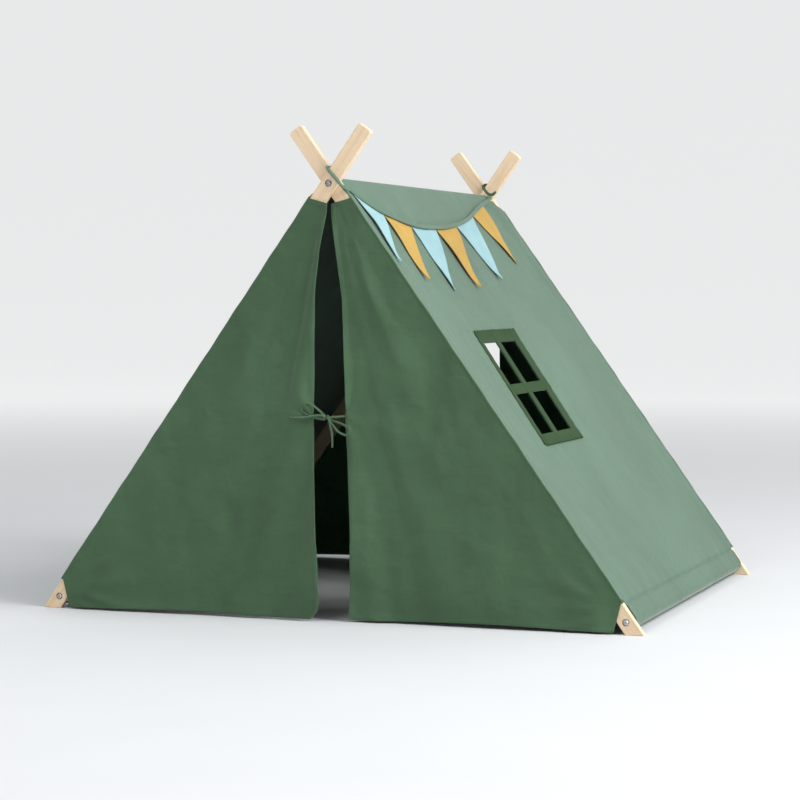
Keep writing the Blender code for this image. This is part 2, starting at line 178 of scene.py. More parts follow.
def cotton(name, color, turn=0.0, across="X", pitch=0.0013, sheen=0.30, creases=0.0):
    """Plain-woven cotton: crossed threads, slubs, a slightly uneven dye and, with creases, soft folds."""
    shader = Shader(name)
    place = shader.place(turn=turn)
    per_band = math.tau / 20 / pitch
    warp = shader.node("ShaderNodeTexWave", {"bands_direction": across}, Vector=place, Scale=per_band)
    weft = shader.node("ShaderNodeTexWave", {"bands_direction": "Z"}, Vector=place, Scale=per_band)
    weave = shader.math("MULTIPLY", warp.outputs["Fac"], weft.outputs["Fac"])
    slub_a = shader.noise(shader.place((30, 30, 900), turn), 1.0, 2.0)
    slub_b = shader.noise(shader.place((900, 900, 30), turn), 1.0, 2.0)
    slub = shader.math("ADD", slub_a, slub_b)
    fade = shader.noise(place, 3.2, 4.0, 0.6)
    patch = shader.noise(place, 28.0, 5.0)
    dark = tuple(c * 0.86 for c in color)
    light = tuple(min(1.0, c * 1.15) for c in color)
    tone = shader.ramp(fade, (0.30, dark), (0.52, color), (0.74, light))
    tone = shader.mix(0.25, tone, shader.ramp(patch, (0.35, dark), (0.65, light)))
    threads = shader.ramp(slub, (0.70, (0.82, 0.82, 0.82)), (1.30, (1.0, 1.0, 1.0)))
    tone = shader.mix(0.55, tone, threads, "MULTIPLY")
    rough = shader.node("ShaderNodeMapRange", Value=patch, To_Min=0.80, To_Max=0.96)
    height = shader.math("ADD", shader.math("MULTIPLY", weave, 0.7), shader.math("MULTIPLY", slub, 0.5))
    if creases:
        soft = shader.noise(shader.place((1.0, 1.0, 0.6), turn), 6.0, 2.0, 0.2)
        small = shader.noise(shader.place((0.8, 0.8, 1.0), turn), 21.0, 2.0, 0.3)
        folds = shader.math("ADD", soft, shader.math("MULTIPLY", small, 0.16))
        under = shader.node("ShaderNodeBump", Height=folds, Strength=creases, Distance=0.030)
        over = shader.node("ShaderNodeBump", Height=height, Strength=0.45, Distance=0.0005,
                           Normal=under.outputs[0])
        shader.tree.links.new(over.outputs[0], shader.out.inputs["Normal"])
    else:
        shader.bump(height, 0.45, 0.0005)
    return shader.finish(Base_Color=tone, Roughness=rough.outputs[0], Sheen_Weight=sheen,
                         Sheen_Roughness=0.45, Specular_IOR_Level=0.25)


def pine(name, turn, lengthwise):
    """Pale planed pine with its grain along the piece: growth lines, fibres and a warmer heart."""
    shader = Shader(name)
    stretch = (1.0, 0.045, 1.0) if lengthwise == "Y" else (1.0, 1.0, 0.045)
    fine = (1.0, 0.012, 1.0) if lengthwise == "Y" else (1.0, 1.0, 0.012)
    place = shader.place(stretch, turn)
    drift = shader.noise(place, 18.0, 3.0, 1.2)
    rings = shader.math("FRACT", shader.math("MULTIPLY", drift, 9.0))
    fibres = shader.noise(shader.place(fine, turn), 900.0, 4.0)
    tone = shader.ramp(rings, (0.0, (0.84, 0.655, 0.45)), (0.55, (0.87, 0.69, 0.485)),
                       (0.86, (0.74, 0.53, 0.325)), (1.0, (0.84, 0.655, 0.45)))
    strands = shader.ramp(fibres, (0.35, (0.69, 0.49, 0.30)), (0.62, (0.85, 0.68, 0.48)))
    tone = shader.mix(0.35, tone, strands)
    warm = shader.noise(shader.place(turn=turn), 6.0, 2.0)
    tone = shader.mix(shader.math("MULTIPLY", warm, 0.30), tone, (0.74, 0.52, 0.32))
    rough = shader.node("ShaderNodeMapRange", Value=fibres, To_Min=0.48, To_Max=0.66)
    shader.bump(shader.math("ADD", fibres, shader.math("MULTIPLY", rings, 0.4)), 0.25, 0.0004)
    return shader.finish(Base_Color=tone, Roughness=rough.outputs[0], Specular_IOR_Level=0.35)


def zinc():
    """Bright zinc plating with fine turning marks."""
    shader = Shader("zinc_plating")
    marks = shader.noise(shader.place((60, 2500, 60)), 1.0, 2.0)
    cloud = shader.noise(shader.place(), 260.0, 3.0)
    tone = shader.ramp(cloud, (0.3, (0.50, 0.50, 0.51)), (0.7, (0.70, 0.70, 0.72)))
    rough = shader.node("ShaderNodeMapRange", Value=cloud, To_Min=0.22, To_Max=0.42)
    shader.bump(marks, 0.2, 0.0002)
    return shader.finish(Base_Color=tone, Roughness=rough.outputs[0], Metallic=1.0)


# The slopes and the doors are one cotton in two colours. The slopes' colour is painted lighter and bluer, a
# painted sky sheen on the lit slopes. The doors' colour is painted darker and yellower, painted shade on
# the doors, which get only raking light from the key. The bows and corner seams share the doors' shaded
# colour.
SLOPE_CANVAS_LIT = (0.075, 0.142, 0.092)
DOOR_CANVAS_SHADED = (0.066, 0.128, 0.066)
TRIM = (0.021, 0.052, 0.016)
AQUA = (0.27, 0.44, 0.46)
MUSTARD = (0.46, 0.29, 0.070)
LOOKS = {
    # Slopes in the lighter, bluer canvas colour (painted sky sheen); doors, bows and seams below in the
    # darker, yellower one (painted shade).
    "slope_left": cotton("canvas_left_slope", SLOPE_CANVAS_LIT, -LEAN, "Y", creases=0.25),
    "slope_right": cotton("canvas_right_slope", SLOPE_CANVAS_LIT, LEAN, "Y", creases=0.25),
    "door": cotton("canvas_doors_painted_shade", DOOR_CANVAS_SHADED, creases=1.0),
    "trim": cotton("window_trim_cotton", TRIM, LEAN, "Y", 0.0010, 0.04),
    "aqua": cotton("aqua_cotton", AQUA, LEAN, "Y", 0.0009, 0.05),
    "mustard": cotton("mustard_cotton", MUSTARD, LEAN, "Y", 0.0009, 0.05),
    "thread": cotton("green_thread", (0.035, 0.075, 0.037), 0.0, "X", 0.0005),
    "zinc": zinc(),
}


def dress_frame():
    """Give the wooden nodes and fixings their materials; the grain follows each piece."""
    lean_left = pine("pine_left_slats", -LEAN, "Z")
    lean_right = pine("pine_right_slats", LEAN, "Z")
    dowel = pine("pine_dowels", 0.0, "Y")
    for name, node in frame["nodes"].items():
        if name.startswith("leg"):
            look = lean_left if name.endswith("left") else lean_right
        elif name.startswith(("rail", "ridge_pole")):
            look = dowel
        elif name.endswith(("bolt", "washer", "insert")):
            look = LOOKS["zinc"]
        else:
            continue
        for slot in node.material_slots:
            slot.material = look


# Cloth surfaces

def grid_mesh(name, surface, thickness, look, keep=None):
    """A closed thin mesh on a grid of middle points, with holes where keep is False."""
    rows, cols = surface.shape[:2]
    if keep is None:
        keep = np.ones((rows - 1, cols - 1), bool)
    normal = np.cross(np.gradient(surface, axis=0), np.gradient(surface, axis=1))
    normal /= np.maximum(np.linalg.norm(normal, axis=2, keepdims=True), 1e-12)
    half = normal * thickness[..., None] / 2
    points = np.concatenate([(surface + half).reshape(-1, 3), (surface - half).reshape(-1, 3)])
    layer = rows * cols
    faces = []
    for i in range(rows - 1):
        for j in range(cols - 1):
            if not keep[i, j]:
                continue
            a, b = i * cols + j, i * cols + j + 1
            c, d = b + cols, a + cols
            faces += [(a, d, c, b), (a + layer, b + layer, c + layer, d + layer)]
            sides = ((i - 1, j, a, b), (i, j + 1, b, c), (i + 1, j, c, d), (i, j - 1, d, a))
            for ni, nj, p, q in sides:
                inside = 0 <= ni < rows - 1 and 0 <= nj < cols - 1
                if not (inside and keep[ni, nj]):
                    faces.append((p, q, q + layer, p + layer))
    mesh = bpy.data.meshes.new(name)
    mesh.from_pydata(points.tolist(), [], faces)
    mesh.validate()
    return finish_mesh(name, mesh, look)


def finish_mesh(name, mesh, look):
    """Shade a mesh, drop loose points and put it in the scene."""
    bm = bmesh.new()
    bm.from_mesh(mesh)
    bmesh.ops.delete(bm, geom=[v for v in bm.verts if not v.link_faces], context="VERTS")
    bmesh.ops.recalc_face_normals(bm, faces=bm.faces)
    bm.to_mesh(mesh)
    bm.free()
    mesh.materials.append(look)
    mesh.shade_smooth()
    mesh.set_sharp_from_angle(angle=math.radians(50))
    piece = bpy.data.objects.new(name, mesh)
    bpy.context.scene.collection.objects.link(piece)
    return piece


def cubic_weights(coarse, fine):
    """Matrix that interpolates values at evenly spaced places 0..1 smoothly to the fine places."""
    result = np.zeros((len(fine), coarse))
    for row, place in enumerate(np.clip(fine, 0, 1)):
        x = place * (coarse - 1)
        base = min(int(x), coarse - 2)
        t = x - base
        shares = (-0.5 * t + t * t - 0.5 * t ** 3, 1 - 2.5 * t * t + 1.5 * t ** 3,
                  0.5 * t + 2 * t * t - 1.5 * t ** 3, -0.5 * t * t + 0.5 * t ** 3)
        for k, share in enumerate(shares):
            result[row, min(max(base - 1 + k, 0), coarse - 1)] += share
    return result


def settle(name, start, pinned, frames, slack=0.0, gravity=0.25):
    """Run a short cloth simulation on a grid of points and return where they come to rest."""
    rows, cols = start.shape[:2]
    faces = [(i * cols + j, i * cols + j + 1, (i + 1) * cols + j + 1, (i + 1) * cols + j)
             for i in range(rows - 1) for j in range(cols - 1)]
    mesh = bpy.data.meshes.new(name + "_sim")
    mesh.from_pydata(start.reshape(-1, 3).tolist(), [], faces)
    cloth = bpy.data.objects.new(name + "_sim", mesh)
    bpy.context.scene.collection.objects.link(cloth)
    group = cloth.vertex_groups.new(name="pins")
    for index, weight in enumerate(pinned.reshape(-1)):
        if weight > 0:
            group.add([index], float(weight), "REPLACE")
    change = cloth.modifiers.new("cloth", "CLOTH")
    settings = change.settings
    settings.vertex_group_mass = "pins"
    settings.quality = 6
    settings.mass = 0.05
    settings.air_damping = 3.0
    settings.tension_stiffness = settings.compression_stiffness = 60
    settings.shear_stiffness = 25
    settings.bending_stiffness = 2.5
    settings.tension_damping = settings.compression_damping = 10
    settings.shrink_min = settings.shrink_max = -slack
    settings.effector_weights.gravity = gravity
    change.point_cache.frame_start = 1
    change.point_cache.frame_end = frames
    scene = bpy.context.scene
    for number in range(1, frames + 1):
        scene.frame_set(number)
    graph = bpy.context.evaluated_depsgraph_get()
    settled = cloth.evaluated_get(graph)
    points = np.zeros(rows * cols * 3, np.float32)
    settled.data.vertices.foreach_get("co", points)
    bpy.data.objects.remove(cloth, do_unlink=True)
    scene.frame_set(1)
    return points.reshape(rows, cols, 3).astype(float)


def hem_profile(distance):
    """Thickness of the cloth by distance from a hemmed edge: fold, groove at the stitching, single ply."""
    places = (0.0, 0.0006, 0.0016, HEM_W - 0.0022, HEM_W - 0.0010, HEM_W, HEM_W + 0.0012, 1.0)
    sizes = (0.0012, 0.0019, HEM_T, HEM_T, 0.0013, 0.0016, CLOTH_T, CLOTH_T)
    return np.interp(distance, places, sizes)


HEM_LINES = (0.0, 0.0006, 0.0016, 0.0050, HEM_W - 0.0022, HEM_W - 0.0010, HEM_W, HEM_W + 0.0014, 0.018)


# Slopes

def slope_point(side, s, y, n):
    """World place of a slope point."""
    return np.stack([side * (s * SIN + n * COS), y, RIDGE_Z - s * COS + n * SIN], axis=-1)


SLEEVE_ARC = 14                                # rows of cloth round the rail
SLEEVE_RETURN = (0.35, 0.7, 1.0)               # rows of the inner ply, back to the stitching
FULL_ROW = 20                                  # a row well below the crossings, at full width
SEAM_OUT = 0.0014                              # how far a slope reaches over its doors' edges


def ridge_drop(s, y):
    """How far the cloth lies under the legs' outer plane near the ridge, where it rests on the pole."""
    edge = np.clip((np.abs(y) - 0.455) / 0.05, 0, 1)
    share = np.clip(s / (0.16 - 0.11 * edge), 0, 1)
    return (COVER_N - RIDGE_SKIN) * (1 - share * share * (3 - 2 * share))


def slope_section():
    """The cloth's path across a slope as (s, n) by arc length: ridge arc, slope, rail sleeve, inner ply."""
    path = []
    top = math.pi / 2 - LEAN
    for k in range(8):
        turn = top * (1 - k / 8)
        path.append((-RIDGE_SKIN * math.sin(turn), RIDGE_SKIN * math.cos(turn)))
    straight = {0.0, TOP_CUT_S, SIDE_CUT_S, RAIL_S}
    straight |= {HEM_S + step for step in (-0.006, -0.003, 0.0, 0.003, 0.007)}
    straight |= set(np.linspace(0.012, HEM_S - 0.01, 74).tolist())
    straight |= {edge + step for pair in PANE_S for edge in pair for step in (-0.0045, -0.002, 0.0, 0.002)}
    for s in sorted(straight):
        if s <= RAIL_S:
            path.append((s, COVER_N))
    for k in range(1, SLEEVE_ARC + 1):
        turn = math.radians(215) * k / SLEEVE_ARC
        path.append((RAIL_S + COVER_N * math.sin(turn), COVER_N * math.cos(turn)))
    end_s, end_n = path[-1]
    for share in SLEEVE_RETURN:
        path.append((end_s + (HEM_S - end_s) * share, end_n + (COVER_N - 0.0022 - end_n) * share))
    return np.array(path)


def slope_span(side, path):
    """First and last y of each row: cut round the crossings at the top and above the feet."""
    outer, inner = HALF_D, HALF_D - LEG_T - 0.0003
    low, high = (-inner, outer) if side > 0 else (-outer, inner)
    rail_low, rail_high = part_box("rail_right") if side > 0 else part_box("rail_left")
    clear = 0.0330                             # from the outer face of the crossing to the cut cloth
    spans = []
    row_s = path[:, 0].copy()
    turned = np.argmax(row_s >= RAIL_S)
    row_s[turned:] = RAIL_S
    for s in row_s:
        top = max(0.0, 1 - s / TOP_CUT_S) if s > 0 else 1.0
        foot = min(1.0, max(0.0, (s - SIDE_CUT_S) / (HEM_S - SIDE_CUT_S)))
        first, last = low, high
        first = max(first, -HALF_D + clear * top) if top > 0.3 else first + 0.012 * top
        last = min(last, HALF_D - clear * top) if top > 0.3 else last - 0.012 * top
        first += (rail_low.y + 0.0006 - low) * foot - SEAM_OUT * (1 - foot)
        last += (rail_high.y - 0.0006 - high) * foot + SEAM_OUT * (1 - foot)
        spans.append((first, last))
    return np.array(spans)


def slope_relief(side, s, y):
    """How far the cloth gives from the flat slope: a shallow sag, pulls at the corners, soft ripples."""
    u = np.clip(y / HALF_D, -1, 1)
    v = np.clip(s / RAIL_S, 0, 1)
    body = np.clip(4 * v * (1 - v), 0, 1) * (1 - u ** 2)
    sag = -0.0055 * body
    pull = 0.0016 * np.sin(26 * (s * 0.75 - (HALF_D + y) * 0.9) + 0.5) * np.exp(-((1 + u) * 3.0))
    pull += 0.0014 * np.sin(30 * (s * 0.6 + (HALF_D - y) * 0.8)) * np.exp(-((1 - u) * 3.2))
    pull *= body ** 0.3
    broad = 0.0016 * np.sin(7.0 * y + 3.0 * s + side) * np.sin(5.0 * s + 1.0) * body
    gather = 0.0007 * np.sin(95 * y + 9 * np.sin(6 * s)) * np.exp(-((v - 1) * 9) ** 2) * (1 - u ** 8)
    return sag + pull + broad + gather


SETTLE_SHARE = 0.55                            # share of the settled sag that is kept, as the cloth is taut
RELIEF = {}


def slope_offset(side, s, y):
    """The settled cloth's distance from the flat slope at any places."""
    grid, s_places, y_places = RELIEF[side]
    i = np.clip((s - s_places[0]) / (s_places[-1] - s_places[0]), 0, 1) * (len(s_places) - 1)
    j = np.clip((y - y_places[0]) / (y_places[-1] - y_places[0]), 0, 1) * (len(y_places) - 1)
    i0 = np.minimum(i.astype(int), len(s_places) - 2)
    j0 = np.minimum(j.astype(int), len(y_places) - 2)
    a, b = i - i0, j - j0
    return ((1 - a) * (1 - b) * grid[i0, j0] + a * (1 - b) * grid[i0 + 1, j0]
            + (1 - a) * b * grid[i0, j0 + 1] + a * b * grid[i0 + 1, j0 + 1])


def settle_slope(side):
    """Settle the flat part of one slope, held along its legs, ridge and rail."""
    s_places = np.linspace(0.0, RAIL_S, 82)
    y_places = np.linspace(-HALF_D, HALF_D, 78)
    s, y = np.meshgrid(s_places, y_places, indexing="ij")
    start = slope_point(side, s, y, SKIN + slope_relief(side, s, y))
    pins = np.zeros(s.shape)
    pins[:2] = pins[-3:] = 1
    pins[:, :2] = pins[:, -2:] = 1
    rest = settle(f"slope_{side}", start, pins, 16, 0.0008, 0.15)
    out = np.array([side * COS, 0, SIN])
    origin = slope_point(side, 0.0, 0.0, SKIN)
    between_legs = np.clip((0.492 - np.abs(y)) / 0.04, 0, 1)  # 0 over the legs, 1 between them
    relief = (rest - origin) @ out * SETTLE_SHARE
    RELIEF[side] = (np.clip(relief, -0.0002 - 0.008 * between_legs, 0.003), s_places, y_places)


WINDOW_MIDDLE = (0.525, -0.16)                 # (s, y) that the askew part of the cloth is centred on


def window_shift(s):
    """Sideways shift of the window at a distance down the slope."""
    return WINDOW_SKEW * (s - (PANE_S[0][0] + PANE_S[1][1]) / 2)


def cell_middles(values):
    """Values at the middle of each cell of a grid."""
    return (values[1:, 1:] + values[:-1, :-1]) / 2


def in_panes(s, y):
    """Whether each place is inside one of the window's four panes."""
    inside = np.zeros(s.shape, bool)
    for s0, s1 in PANE_S:
        for y0, y1 in PANE_Y:
            inside |= (s > s0) & (s < s1) & (y > y0) & (y < y1)
    return inside


def slope(side):
    """One slope of the cover with its rail sleeve, and the window's panes on the right."""
    name = "right" if side > 0 else "left"
    path = slope_section()
    spans = slope_span(side, path)
    hem_lines = (0.0, 0.0015, 0.003, 0.011, 0.0125, 0.014)
    width = 2 * HALF_D - LEG_T
    shares = set(np.linspace(0, 1, 74).tolist())
    shares |= {x / width for x in hem_lines} | {1 - x / width for x in hem_lines}
    first, last = spans[FULL_ROW]
    for pair in PANE_Y:
        for edge in pair:
            for step in (-0.0045, -0.002, 0.0, 0.002, 0.0045):
                shares.add((edge + step - first) / (last - first))
    shares = np.array(sorted(shares))
    keep_apart = np.concatenate([[True], np.diff(shares) > 0.0004])
    shares = shares[keep_apart]
    s = np.repeat(path[:, :1], len(shares), axis=1)
    n = np.repeat(path[:, 1:], len(shares), axis=1)
    y = spans[:, :1] + (spans[:, 1:] - spans[:, :1]) * shares
    flat = (s >= 0) & (np.arange(len(path))[:, None] < len(path) - SLEEVE_ARC - len(SLEEVE_RETURN))
    fade = np.clip(s / 0.05, 0, 1) * np.clip((RAIL_S - s) / 0.04, 0, 1)
    n = n + np.where(flat, slope_offset(side, s, y) * fade - ridge_drop(s, y), 0.0)
    crease = np.exp(-((s - HEM_S) / 0.0035) ** 2) * 0.0026
    n = n - np.where(flat, crease, 0.0)
    thick = np.full(s.shape, CLOTH_T)
    rim = np.minimum(y - spans[:, :1], spans[:, 1:] - y)
    thick += np.interp(rim, (0.0, 0.011, 0.0125, 0.014), (0.0009, 0.0009, 0.0, 0.0))
    thick -= np.exp(-((rim - 0.0125) / 0.001) ** 2) * 0.0003
    keep = None
    if side > 0:
        straight = flat[1:, 1:] & flat[:-1, :-1]
        keep = ~(straight & in_panes(cell_middles(s), cell_middles(y)))
        near = np.clip((0.13 - np.abs(s - WINDOW_MIDDLE[0])) / 0.06 + 1, 0, 1)
        near = near * np.clip((0.24 - np.abs(y - WINDOW_MIDDLE[1])) / 0.1, 0, 1)
        y = y + window_shift(s) * near
    surface = slope_point(side, s, y, n)
    piece = grid_mesh(f"cover_slope_{name}", surface, thick, LOOKS[f"slope_{name}"], keep)
    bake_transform(piece)
    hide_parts(f"side_panel_{name}", *(["ridge_strip"] if side < 0 else []))


# Doors

def slit_gap(side_name, z):
    """Gap from the middle line to a door's slit edge."""
    heights, gaps = zip(*SLIT[side_name])
    return np.interp(z, heights, gaps)


def door_flat(twin, down, across):
    """(distance from the middle line, height) on a door: down 0 top to 1 hem, across 0 leg to 1 slit."""
    top_outer, bottom = FLAP_HIGH.z, FLAP_LOW.z - 0.002
    lift = 0.0045 * np.sin(math.pi * np.clip(across * 1.05, 0, 1)) ** 2
    z_outer = top_outer + (bottom - top_outer) * down
    z_inner = DOOR_TOP_Z + (bottom + 0.001 - DOOR_TOP_Z) * down
    z = z_outer + (z_inner - z_outer) * across + lift * down ** 8
    cut = np.clip((CUT_Z - z_outer) / (CUT_Z - bottom), 0, 1)
    skin = (SKIN - SEAM_OUT) / COS
    x_outer = (RIDGE_Z - np.maximum(z_outer, CUT_Z)) * TAN + skin
    x_outer = x_outer + (DOOR_FOOT_X - x_outer) * cut
    x_inner = slit_gap(twin, z_inner)
    return x_outer + (x_inner - x_outer) * across, z


def door_relief(twin, x, z, down, across):
    """Designed folds of a door: hanging folds, pulls from the bow and from the foot, a rolled slit edge."""
    seed = 0.0 if twin == "left" else 1.7
    free = np.clip(across, 0, 1) ** 0.7 * np.clip(down * 3.0, 0, 1)
    spoke = np.arctan2(x, RIDGE_Z - z + 0.02)
    fold = 0.0062 * np.sin(17 * spoke + seed) + 0.0030 * np.sin(39 * spoke + 2 * seed + 4 * z)
    fold = fold * free * np.clip(across * 4, 0, 1)
    reach = np.hypot(x - 0.03, z - TIE_Z)
    bearing = np.arctan2(z - TIE_Z, x - 0.03)
    bow = 0.0042 * np.cos(6.5 * bearing + seed) * np.exp(-reach / 0.075) * np.clip(reach / 0.02, 0, 1)
    foot_reach = np.hypot(x - 0.60, z - 0.05)
    foot_bearing = np.arctan2(z - 0.05, 0.60 - x)
    foot = 0.0036 * np.sin(15 * foot_bearing + seed) * np.exp(-foot_reach / 0.16)
    foot *= np.clip(foot_reach / 0.05, 0, 1) * np.clip(across * 8, 0, 1)
    crumple = 0.0014 * np.sin(34 * x + 22 * z + seed) * np.sin(27 * z - 18 * x) * free
    roll = 0.0035 * np.exp(-((x - slit_gap(twin, z)) / 0.02)) * np.sin(9 * z + seed)
    return fold + bow + foot + crumple + roll


def names(end, side):
    """Words for an end and a side of the tent."""
    return "front" if end < 0 else "back", "left" if side < 0 else "right"


def door_face(end, side):
    """Depth of the leg's face that a door lies on."""
    return JOINTS["door_{}_{}_swing".format(*names(end, side))]["pos_m"][1]


def hang(piece, end, side):
    """Let a piece swing with its door, on a mesh of its own."""
    end_name, side_name = names(end, side)
    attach(piece, f"door_{end_name}_{side_name}")
    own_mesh(piece)


DOOR_LIE = 0.0012                              # middle of a flat door's cloth, out of the leg's face
LEG_CLEAR = 0.047                              # across a leg, from the door's outer edge
LEAST_WIDTH = 0.02                             # hem lines crowd together where a door is narrower


def settle_door(end, side, twin, rows, cols):
    """How far each place of a door on an even grid moves from the flat outline."""
    face_y = door_face(end, side)
    down, across = np.meshgrid(np.linspace(0, 1, rows), np.linspace(0, 1, cols), indexing="ij")
    x, z = door_flat(twin, down, across)
    inside = (RIDGE_Z - z) * TAN + SKIN / COS - x
    give = np.clip((inside - LEG_CLEAR) / 0.04, 0, 1)
    relief = np.maximum(door_relief(twin, x, z, down, across) + 0.0045 * give, -0.0003) * (across > 0)
    start = np.stack([side * x, face_y + end * (DOOR_LIE + relief), z], axis=-1)
    pins = np.zeros(x.shape)
    pins[:, :2] = 1
    pins[0, :] = 1
    tie_row = int(np.argmin(np.abs(z[:, -1] - TIE_Z)))
    pins[tie_row - 1:tie_row + 2, -2:] = 1
    pins[-4:, -3:] = 0.5
    plain = np.stack([side * x, np.full(x.shape, face_y + end * DOOR_LIE), z], axis=-1)
    move = settle("door_{}_{}".format(*names(end, side)), start, pins, 14, 0.0010, 0.12) - plain
    move[..., 0] = np.clip(move[..., 0], -0.006, 0.006)
    move[..., 1] = end * np.clip(end * move[..., 1], -0.0003, 0.018)
    move[..., 2] = np.clip(move[..., 2], -0.003, 0.006)
    return move


def door_grid(twin, tall):
    """Shares down and across a door, with lines at fixed distances from the top, the hem and the slit."""
    down = set(np.linspace(0, 1, 104).tolist())
    down |= {d / tall for d in HEM_LINES} | {1 - d / tall for d in HEM_LINES}
    down = np.array(sorted(down))
    down = down[np.concatenate([[True], np.diff(down) > 0.0005])]
    ones = np.ones(len(down))
    wide = np.maximum(door_flat(twin, down, 0 * ones)[0] - door_flat(twin, down, ones)[0], LEAST_WIDTH)
    lines = np.array(HEM_LINES)
    crowded = 0.9 * np.arange(len(lines)) / len(lines) + 1e-6
    rest = np.linspace(0, 1, 58)[1:]
    across = np.zeros((len(down), len(lines) + len(rest)))
    for row, span in enumerate(wide):
        used = np.minimum(lines / span, crowded)
        across[row] = 1 - np.concatenate([used, used[-1] + (1 - used[-1]) * rest])
    return down, np.clip(across[:, ::-1], 0, 1), wide


def door(end, side):
    """One door flap. end -1 front, +1 back; side -1 left, +1 right. The back is the front turned round."""
    end_name, side_name = names(end, side)
    twin = names(end, -end * side)[1]
    rows, cols = 96, 56
    move = settle_door(end, side, twin, rows, cols)
    tall = DOOR_TOP_Z - FLAP_LOW.z
    down, across, wide = door_grid(twin, tall)
    x, z = door_flat(twin, down[:, None] + 0 * across, across)
    by_rows = np.einsum("fr,rck->fck", cubic_weights(rows, down), move)
    shift = np.zeros((*x.shape, 3))
    for row in range(len(down)):
        shift[row] = cubic_weights(cols, across[row]) @ by_rows[row]
    y = np.full(x.shape, door_face(end, side) + end * DOOR_LIE)
    surface = np.stack([side * x, y, z], axis=-1) + shift
    from_slit = (1 - across) * wide[:, None]
    from_hem = np.minimum((1 - down) * tall, down * tall)[:, None] + 0 * from_slit
    thick = np.maximum(hem_profile(from_slit), hem_profile(from_hem))
    stitched = HEM_W - 0.001
    groove = (np.abs(from_slit - stitched) < 0.0008) | (np.abs(from_hem - stitched) < 0.0008)
    thick = np.where(groove, 0.0013, thick)
    piece = grid_mesh(f"door_flap_{end_name}_{side_name}", surface, thick, LOOKS["door"])
    hang(piece, end, side)
    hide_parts(f"flap_{end_name}_{side_name}")
    seam = -sum(line < HEM_W for line in HEM_LINES) - 1
    stitches(f"stitching_{end_name}_{side_name}", surface[6:-6, seam], end, side)
    stitches(f"hem_stitching_{end_name}_{side_name}", surface[seam, 6:-6], end, side)


STITCH = 0.0050                                # from one stitch to the next


def stitches(name, line, end, side):
    """A row of short thread stitches along a line of points, on both faces of the hem."""
    gaps = np.linalg.norm(np.diff(line, axis=0), axis=1)
    along = np.concatenate([[0], np.cumsum(gaps)])
    verts, faces = [], []
    for k in range(int(along[-1] / STITCH)):
        a, b = (k + 0.15) * STITCH, (k + 0.80) * STITCH
        p = np.array([np.interp(a, along, line[:, c]) for c in range(3)])
        q = np.array([np.interp(b, along, line[:, c]) for c in range(3)])
        m = (p + q) / 2
        run = (q - p) / np.linalg.norm(q - p)
        out = np.array([0.0, float(end), 0.0])
        wide = np.cross(run, out) * 0.00035
        for sign in (1, -1):
            lift = out * sign * 0.00085
            base = len(verts)
            verts += [p + out * sign * 0.0004, m - wide + lift, q + out * sign * 0.0004, m + wide + lift,
                      m + lift * 1.35]
            faces += [(base, base + 1, base + 4), (base + 1, base + 2, base + 4),
                      (base + 2, base + 3, base + 4), (base + 3, base, base + 4),
                      (base, base + 3, base + 2, base + 1)]
    mesh = bpy.data.meshes.new(name)
    mesh.from_pydata([tuple(v) for v in verts], [], faces)
    hang(finish_mesh(name, mesh, LOOKS["thread"]), end, side)


# Ribbons: bunting tape, door ties, corner piping

def smooth_path(points, spacing):
    """Evenly spaced places on a smooth curve through the given points."""
    knots = [Vector(p) for p in points]
    dense = []
    for k in range(len(knots) - 1):
        before = knots[max(k - 1, 0)]
        start, end = knots[k], knots[k + 1]
        after = knots[min(k + 2, len(knots) - 1)]
        for step in range(24):
            t = step / 24
            dense.append(0.5 * (2 * start + (end - before) * t
                                + (2 * before - 5 * start + 4 * end - after) * t ** 2
                                + (3 * start - before - 3 * end + after) * t ** 3))
    dense.append(knots[-1])
    dense = np.array([tuple(p) for p in dense])
    along = np.concatenate([[0], np.cumsum(np.linalg.norm(np.diff(dense, axis=0), axis=1))])
    count = max(2, round(along[-1] / spacing))
    places = np.linspace(0, along[-1], count + 1)
    return np.stack([np.interp(places, along, dense[:, c]) for c in range(3)], axis=1)


def ribbon(name, path, width, thickness, look, facing, twist=0.0, taper=0.0):
    """A folded tape swept along a path: a flat oval section with a fold groove down each edge.

    facing gives the direction that the tape's face looks, one for each place or one for all.
    """
    path = np.asarray(path, float)
    along = np.gradient(path, axis=0)
    along /= np.linalg.norm(along, axis=1, keepdims=True)
    face = np.broadcast_to(np.asarray(facing, float), path.shape).copy()
    face -= along * np.sum(face * along, axis=1, keepdims=True)
    face /= np.maximum(np.linalg.norm(face, axis=1, keepdims=True), 1e-9)
    across = np.cross(along, face)
    turn = np.linspace(0, twist, len(path))[:, None]
    face, across = face * np.cos(turn) + across * np.sin(turn), across * np.cos(turn) - face * np.sin(turn)
    w, t = width / 2, thickness / 2
    half = [(w, 0), (0.93 * w, 0.75 * t), (0.70 * w, t),
            (0.0, 0.9 * t), (-0.70 * w, t), (-0.93 * w, 0.75 * t)]
    section = half + [(-a, -b) for a, b in half]
    size = len(section)
    share = np.linspace(0, 1, len(path))
    narrow = 1 - taper * np.clip((share - 0.8) / 0.2, 0, 1)
    verts = []
    for k in range(len(path)):
        for a, b in section:
            verts.append(tuple(path[k] + across[k] * a * narrow[k] + face[k] * b))
    faces = []
    for k in range(len(path) - 1):
        for m in range(size):
            after = (m + 1) % size
            faces.append((k * size + m, k * size + after, (k + 1) * size + after, (k + 1) * size + m))
    faces.append(tuple(range(size)))
    faces.append(tuple((len(path) - 1) * size + m for m in range(size)))
    mesh = bpy.data.meshes.new(name)
    mesh.from_pydata(verts, [], faces)
    return finish_mesh(name, mesh, look)


